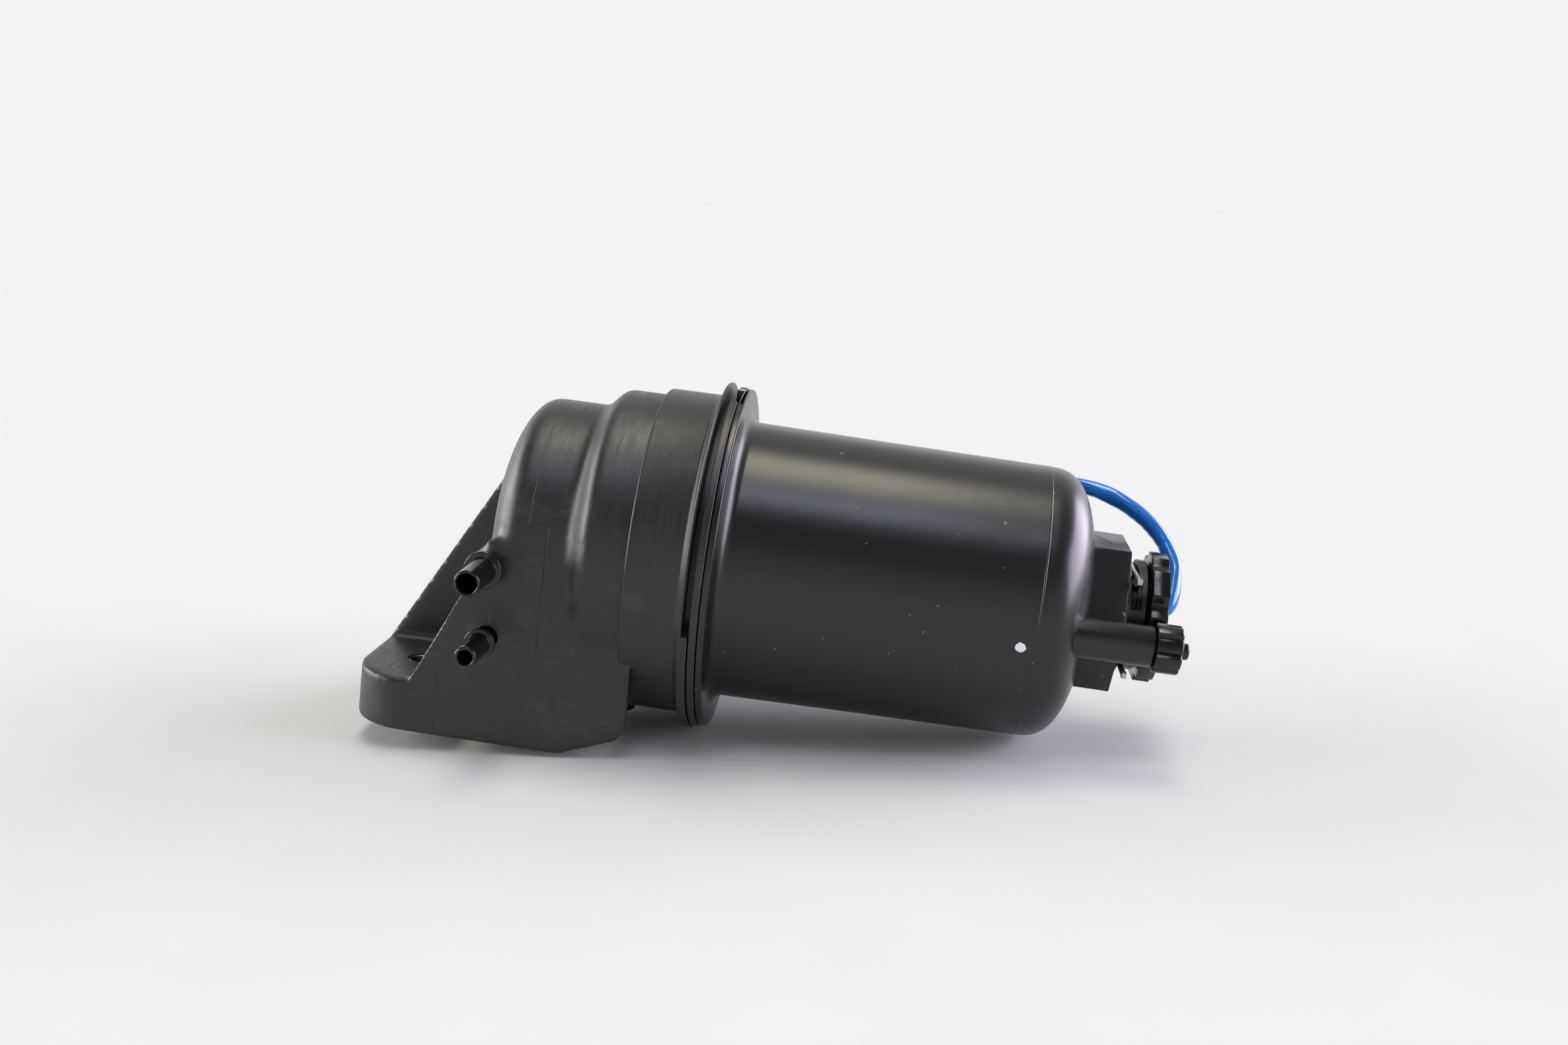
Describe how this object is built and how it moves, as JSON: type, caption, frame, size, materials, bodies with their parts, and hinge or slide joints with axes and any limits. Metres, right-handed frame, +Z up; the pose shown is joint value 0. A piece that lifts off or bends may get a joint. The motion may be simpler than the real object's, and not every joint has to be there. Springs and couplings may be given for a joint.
{
  "type": "fuel filter housing",
  "caption": "Canister filter reservoir lying on its bracket: moulded head with hose spigots, screw-on bowl with filter element, drain valve and water sensor with lead.",
  "frame": {"origin": "centre of the bounding box, on the floor that the part lies on", "axes": "+X along the floor from the mounting ear to the bowl's drain end, +Y away from the spigots, +Z up; the canister axis slopes down towards +X"},
  "size_m": [0.308, 0.1454, 0.1322],
  "materials": {
    "head_nylon": "satin",
    "bowl_nylon": "satin",
    "spigot_plastic": "gloss",
    "zinc_steel": "satin",
    "nitrile_rubber": "matte",
    "filter_paper": "matte",
    "element_plastic": "satin",
    "blue_sleeve": "gloss"
  },
  "bodies": {
    "head": {"head_housing": "head_nylon", "mounting_bush_near": "zinc_steel", "mounting_bush_far": "zinc_steel", "outlet_spigot": "spigot_plastic", "inlet_spigot": "spigot_plastic", "lock_ring": "head_nylon"},
    "filter_element": {"filter_media": "filter_paper", "element_cap_upper": "element_plastic", "element_cap_lower": "element_plastic", "core_tube": "element_plastic", "element_seal": "nitrile_rubber"},
    "bowl": {"bowl": "bowl_nylon", "bowl_seal": "nitrile_rubber", "element_spring": "zinc_steel", "sensor_body": "bowl_nylon", "sensor_probe_near": "zinc_steel", "sensor_probe_far": "zinc_steel", "sensor_seal": "nitrile_rubber", "sensor_lead": "blue_sleeve", "lead_gland": "nitrile_rubber", "lead_connector": "bowl_nylon", "lead_clip": "bowl_nylon"},
    "drain_packing": {"drain_seal": "nitrile_rubber"},
    "drain_valve": {"drain_knob": "bowl_nylon", "drain_stem": "bowl_nylon"},
    "clip": {"sensor_clip": "zinc_steel"}
  },
  "joints": [
    {"name": "element_travel", "type": "slide", "parent": "head", "child": "filter_element", "axis": [0.9943, 0, -0.107], "range_m": [0, 0.01]},
    {"name": "bowl_turn", "type": "hinge", "parent": "filter_element", "child": "bowl", "pos_m": [-0.02283, 0.00635, 0.06592], "axis": [0.9943, 0, -0.107], "range_deg": [0, 900]},
    {"name": "drain_travel", "type": "slide", "parent": "bowl", "child": "drain_packing", "axis": [0.9943, 0, -0.107], "range_m": [0, 0.003]},
    {"name": "drain_turn", "type": "hinge", "parent": "drain_packing", "child": "drain_valve", "pos_m": [0.12612, -0.03115, 0.04809], "axis": [0.9943, 0, -0.107], "range_deg": [0, 540]},
    {"name": "clip_pull", "type": "slide", "parent": "bowl", "child": "clip", "axis": [0, 1, 0], "range_m": [0, 0.04]}
  ],
  "couplings": [
    {"joint": "element_travel", "follows": "bowl_turn", "m_per_rad": 0.0006366},
    {"joint": "drain_turn", "follows": "drain_travel", "rad_per_m": 3141.5}
  ]
}
